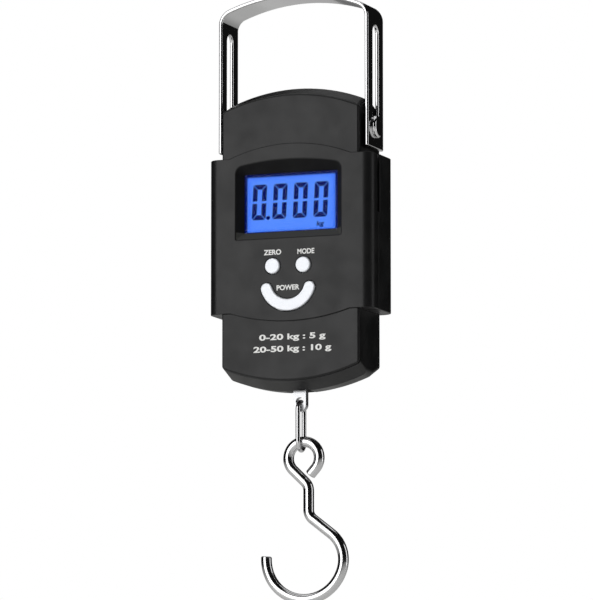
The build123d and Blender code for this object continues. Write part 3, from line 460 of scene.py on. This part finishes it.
strap = bmesh.new()
bmesh.ops.create_grid(strap, x_segments=ARCH_COLUMNS, y_segments=1, size=1.0)
inner_half = strip_half - bend_reach - BEND_CLEARANCE
for vert in strap.verts:
    inner = vert.co.x * inner_half * ARCH_COLUMNS / (ARCH_COLUMNS - 2)
    x = inner if abs(vert.co.x) < 0.99 else strip_half * vert.co.x
    drop = ARCH_RADIUS - sqrt(ARCH_RADIUS**2 - x**2)
    vert.co = (x, vert.co.y * strap_high.y, crown_z - drop)
ends = [e for e in strap.edges if abs(sum(v.co.x for v in e.verts)) > 1.99 * strip_half]
bmesh.ops.extrude_edge_only(strap, edges=ends)
strap.verts.ensure_lookup_table()
feet = [v for v in strap.verts if abs(v.co.x) > 0.99 * strip_half and len(v.link_faces) == 1]
for vert in feet:
    vert.co.z = strap_low.z
strap.edges.ensure_lookup_table()
bends = [e for e in strap.edges if len(e.link_faces) == 2 and e.calc_face_angle() > radians(45)]
bmesh.ops.bevel(strap, geom=bends, offset=bend_reach, offset_type="OFFSET", affect="EDGES",
                segments=14, profile=0.5, material=-1, clamp_overlap=True)
bmesh.ops.recalc_face_normals(strap, faces=strap.faces)
bmesh.ops.solidify(strap, geom=strap.faces[:], thickness=THICKNESS)
print("bends made:", len(bends))
handle = finish_piece("handle", strap, "handle", "bright_steel", strap_steel, "handle_strap")

# %% Cut the slots and round the rims
SLOT_RADIUS = 3.2 * MM
SLOT_LOW_Z = centre_z + 45.6 * MM
SLOT_HIGH_Z = centre_z + 84.15 * MM


def cut(piece, cutter_work):
    """Takes the cutter's shape out of a piece for good."""
    cutter_mesh = bpy.data.meshes.new("cutter")
    cutter_work.to_mesh(cutter_mesh)
    cutter_work.free()
    cutter = bpy.data.objects.new("cutter", cutter_mesh)
    bpy.context.scene.collection.objects.link(cutter)
    boolean = piece.modifiers.new("cut", "BOOLEAN")
    boolean.operation = "DIFFERENCE"
    boolean.solver = "EXACT"
    boolean.object = cutter
    bpy.context.view_layer.update()
    result = bpy.data.meshes.new_from_object(piece.evaluated_get(bpy.context.evaluated_depsgraph_get()))
    piece.modifiers.remove(boolean)
    old, piece.data = piece.data, result
    result.name = piece.name
    bpy.data.meshes.remove(old)
    bpy.data.objects.remove(cutter)
    bpy.data.meshes.remove(cutter_mesh)


slot_cutter = bmesh.new()
bmesh.ops.create_cone(slot_cutter, cap_ends=True, segments=48, radius1=SLOT_RADIUS, radius2=SLOT_RADIUS,
                      depth=4 * strap_high.x, matrix=Matrix.Rotation(pi / 2, 4, "Y"))
for vert in slot_cutter.verts:
    vert.co.z += SLOT_HIGH_Z if vert.co.z > 1e-6 else SLOT_LOW_Z
bmesh.ops.recalc_face_normals(slot_cutter, faces=slot_cutter.faces)
cut(handle, slot_cutter)
round_edges(handle, 0.68, segments=6)
print("handle after its slots:", len(handle.data.polygons), "faces")

# %% [markdown]
# ## Printed words and figures
# Pad print is a film of ink about 0.02 mm thick. Each word is a text object made a mesh first, and
# then laid on its face.


# %% Lay a word on a face that looks towards -Y
def print_word(name, words, height_mm, x_mm, z_mm, face_y, finish, width_mm, slot="silver_key",
               film_mm=0.03, shear=0.0):
    text = bpy.data.curves.new(name, "FONT")
    text.body = words
    text.align_x = "CENTER"
    text.align_y = "CENTER"
    text.size = 1.0
    text.shear = shear
    text.offset = 0.03
    text.resolution_u = 6
    holder = bpy.data.objects.new(name + "_text", text)
    flat = bpy.data.meshes.new_from_object(holder)
    bpy.data.objects.remove(holder)
    letters = bmesh.new()
    letters.from_mesh(flat)
    bpy.data.meshes.remove(flat)
    bmesh.ops.remove_doubles(letters, verts=letters.verts, dist=1e-5)
    low = Vector([min(v.co[i] for v in letters.verts) for i in range(2)])
    high = Vector([max(v.co[i] for v in letters.verts) for i in range(2)])
    tall = height_mm * MM / (high.y - low.y)
    wide = width_mm * MM / (high.x - low.x)
    middle = (low + high) / 2
    raised = bmesh.ops.extrude_face_region(letters, geom=letters.faces[:])
    lifted = [v for v in raised["geom"] if isinstance(v, bmesh.types.BMVert)]
    for vert in lifted:
        vert.co.z = 1.0
    for vert in letters.verts:
        x = (vert.co.x - middle.x) * wide + x_mm * MM
        z = (vert.co.y - middle.y) * tall + centre_z + z_mm * MM
        vert.co = (x, face_y - vert.co.z * film_mm * MM, z)
    bmesh.ops.recalc_face_normals(letters, faces=letters.faces)
    finish_piece(name, letters, "case", slot, finish)


case_face_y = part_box("front_case")[0].y
print_word("word_zero", "ZERO", 2.2, -7.4, -6.3, cover_front_y, print_white, width_mm=7.6)
print_word("word_mode", "MODE", 2.2, 7.2, -6.5, cover_front_y, print_white, width_mm=7.4)
print_word("word_power", "POWER", 2.2, -0.6, -21.1, cover_front_y, print_white, width_mm=10.0)
print_word("range_line_1", "0-20 kg : 5 g", 3.2, 1.0, -41.6, case_face_y, print_white, width_mm=29)
print_word("range_line_2", "20-50 kg : 10 g", 3.2, 1.0, -46.5, case_face_y, print_white, width_mm=34)

# %% [markdown]
# ## Figures on the display
# A zero on a seven-segment display is six bars round an oblong. The oblong is inset to a frame with
# mitred corners, parted across its middle, and each bar is then shrunk a little, which opens thin
# gaps between them. The sharp outer tips are cut off, and all figures lean a little to the right.

# %% Seven-segment figures
FIGURE_HEIGHT = 14.6
FIGURE_WIDTH = 6.05
FIGURE_PITCH = 9.0
FIRST_FIGURE_X = -14.75
FIGURE_BOTTOM = 8.0
BAR_WIDTH = 2.0
BAR_GAP = 0.26
MIDDLE_GAP = 1.0
TIP_CUT = 0.4
LEAN = 0.053
FILM = 0.02
POINT_X = -10.6
POINT_RADIUS = 0.85
POINT_RISE = 0.7
figures_y = glass_low.y
middle_z = FIGURE_BOTTOM + FIGURE_HEIGHT / 2

figures = bmesh.new()
for place_in_row in range(4):
    corners = bmesh.ops.create_grid(figures, x_segments=1, y_segments=1, size=0.5)["verts"]
    for vert in corners:
        vert.co = (FIRST_FIGURE_X + FIGURE_PITCH * place_in_row + vert.co.x * (FIGURE_WIDTH + BAR_GAP),
                   0, middle_z + vert.co.y * (FIGURE_HEIGHT + BAR_GAP))
figures.normal_update()
middles = figures.faces[:]
bmesh.ops.inset_region(figures, faces=middles, thickness=BAR_WIDTH + BAR_GAP, use_boundary=True,
                       use_even_offset=True)
bmesh.ops.delete(figures, geom=middles, context="FACES")
for level in (-0.5, 0.5):
    everything = figures.verts[:] + figures.edges[:] + figures.faces[:]
    bmesh.ops.bisect_plane(figures, geom=everything, plane_no=(0, 0, 1), dist=1e-5,
                           plane_co=(0, 0, middle_z + level * (MIDDLE_GAP - BAR_GAP)))
between = [f for f in figures.faces if abs(f.calc_center_median().z - middle_z) < 0.1]
bmesh.ops.delete(figures, geom=between, context="FACES")
rims = bmesh.ops.inset_individual(figures, faces=figures.faces[:], thickness=BAR_GAP / 2,
                                  use_even_offset=True)
bmesh.ops.delete(figures, geom=rims["faces"], context="FACES")
tips = [loop.vert for face in figures.faces for loop in face.loops if loop.calc_angle() < radians(60)]
bmesh.ops.bevel(figures, geom=tips, offset=TIP_CUT, affect="VERTICES", segments=1, profile=0.5,
                material=-1)
print("bars:", len(figures.faces))
dot = bmesh.ops.create_circle(figures, cap_ends=True, segments=20, radius=POINT_RADIUS)
for vert in dot["verts"]:
    vert.co = (POINT_X + vert.co.x, 0, FIGURE_BOTTOM + POINT_RISE + vert.co.y)
for vert in figures.verts:
    x = vert.co.x + LEAN * (vert.co.z - middle_z)
    vert.co = (x * MM, figures_y, vert.co.z * MM + centre_z)
film = bmesh.ops.extrude_face_region(figures, geom=figures.faces[:])
for vert in film["geom"]:
    if isinstance(vert, bmesh.types.BMVert):
        vert.co.y -= FILM * MM
bmesh.ops.recalc_face_normals(figures, faces=figures.faces)
finish_piece("display_figures", figures, "case", "blue_display", figure_ink)
print_word("display_unit", "kg", 2.5, 11.95, 5.0, figures_y, figure_ink, slot="blue_display",
           film_mm=FILM, shear=0.15, width_mm=3.3)

# %% [markdown]
# ## Floor, light and camera
# The floor is pale and plain, with a faint glow that keeps it pale away from the panels. It is
# clear from below, so that the scale can be seen from there. One large soft panel stands in front
# and to the left, so that flat black faces return an even grey and steel edges facing it turn
# white. Dark surroundings give the steel its black bands. The sky is white where the camera looks
# straight at it, soft for dull surfaces, and nearly black for mirrors.

# %% Floor
FLOOR_HALF_SIZE = 15.0           # metres, like the drop below the hook
FLOOR_DROP = 0.25
floor_work = bmesh.new()
bmesh.ops.create_grid(floor_work, x_segments=1, y_segments=1, size=FLOOR_HALF_SIZE)
bmesh.ops.translate(floor_work, verts=floor_work.verts, vec=(0, 0, cad_box[0].z - FLOOR_DROP))
floor_mesh = bpy.data.meshes.new("floor")
floor_work.to_mesh(floor_mesh)
floor_work.free()
floor = bpy.data.objects.new("floor", floor_mesh)
bpy.context.scene.collection.objects.link(floor)
pale, tree, shader, place = start_material("pale_floor", Roughness=0.8)
mottle = add_node(tree, "ShaderNodeTexNoise", {"Vector": place, "Scale": 3.0})
floor_tint = add_node(tree, "ShaderNodeMix", {"Factor": mottle.outputs["Fac"]}, data_type="RGBA")
floor_tint.inputs["A"].default_value = linear("#eeeeec")
floor_tint.inputs["B"].default_value = linear("#f3f3f1")
tree.links.new(floor_tint.outputs["Result"], shader.inputs["Base Color"])
tree.links.new(floor_tint.outputs["Result"], shader.inputs["Emission Color"])
glow = add_node(tree, "ShaderNodeMapRange", {
    "Value": add_node(tree, "ShaderNodeLightPath").outputs["Is Camera Ray"],
    "To Min": 0.12, "To Max": 0.5})
tree.links.new(glow.outputs["Result"], shader.inputs["Emission Strength"])
side = add_node(tree, "ShaderNodeNewGeometry")
clear = add_node(tree, "ShaderNodeBsdfTransparent")
one_way = add_node(tree, "ShaderNodeMixShader", {
    0: side.outputs["Backfacing"], 1: shader.outputs["BSDF"], 2: clear.outputs["BSDF"]})
tree.links.new(one_way.outputs["Shader"], tree.nodes["Material Output"].inputs["Surface"])
floor_mesh.materials.append(pale)

# %% Sky
world = bpy.data.worlds.new("studio")
bpy.context.scene.world = world
world.use_nodes = True
sky = world.node_tree
sky.nodes.clear()
seen = add_node(sky, "ShaderNodeLightPath")
white_sky = add_node(sky, "ShaderNodeBackground", {"Color": linear("#ffffff"), "Strength": 1.0})
dim_sky = add_node(sky, "ShaderNodeBackground", {"Color": linear("#ffffff"), "Strength": 0.006})
soft_sky = add_node(sky, "ShaderNodeBackground", {"Color": linear("#ffffff"), "Strength": 0.25})
fill_mix = add_node(sky, "ShaderNodeMixShader", {
    0: seen.outputs["Is Diffuse Ray"], 1: dim_sky.outputs[0], 2: soft_sky.outputs[0]})
sky_mix = add_node(sky, "ShaderNodeMixShader", {
    0: seen.outputs["Is Camera Ray"], 1: fill_mix.outputs[0], 2: white_sky.outputs[0]})
add_node(sky, "ShaderNodeOutputWorld", {"Surface": sky_mix.outputs[0]})
bpy.context.scene.view_settings.view_transform = "Standard"


# %% Light panels
def from_angles(azimuth, elevation):
    """The direction from the scale towards a place at these angles; azimuth 0 is in front of it."""
    a, e = radians(azimuth), radians(elevation)
    return Vector((sin(a) * cos(e), -cos(a) * cos(e), sin(e)))


aim = Vector((-1.95 * MM, 0, centre_z - 24.6 * MM))


def panel(name, azimuth, elevation, distance, width, height, brightness):
    """A soft panel facing the scale. Brightness is what a mirror would show, with white as 1."""
    light = bpy.data.lights.new(name, "AREA")
    light.shape = "RECTANGLE"
    light.size = width
    light.size_y = height
    light.energy = brightness * pi * width * height
    made = bpy.data.objects.new(name, light)
    way = from_angles(azimuth, elevation)
    made.location = aim + way * distance
    made.rotation_euler = way.to_track_quat("Z", "Y").to_euler()
    made.visible_camera = False
    bpy.context.scene.collection.objects.link(made)


panel("front_panel", -24, 12, 1.4, 1.1, 1.3, 2.6)
panel("top_panel", -120, 80, 1.2, 1.5, 1.3, 0.9)
panel("back_left_panel", -155, -5, 1.5, 0.7, 1.2, 0.14)
panel("back_right_panel", 103, 10, 1.5, 0.5, 1.2, 1.5)

# %% Camera
camera_data = bpy.data.cameras.new("camera")
camera_data.lens = 365.5
camera_data.clip_start = 0.05
camera = bpy.data.objects.new("camera", camera_data)
view_from = from_angles(21.0, -7.7)
camera.location = aim + view_from * 2.5
camera.rotation_euler = view_from.to_track_quat("Z", "Y").to_euler()
bpy.context.scene.collection.objects.link(camera)
bpy.context.scene.camera = camera
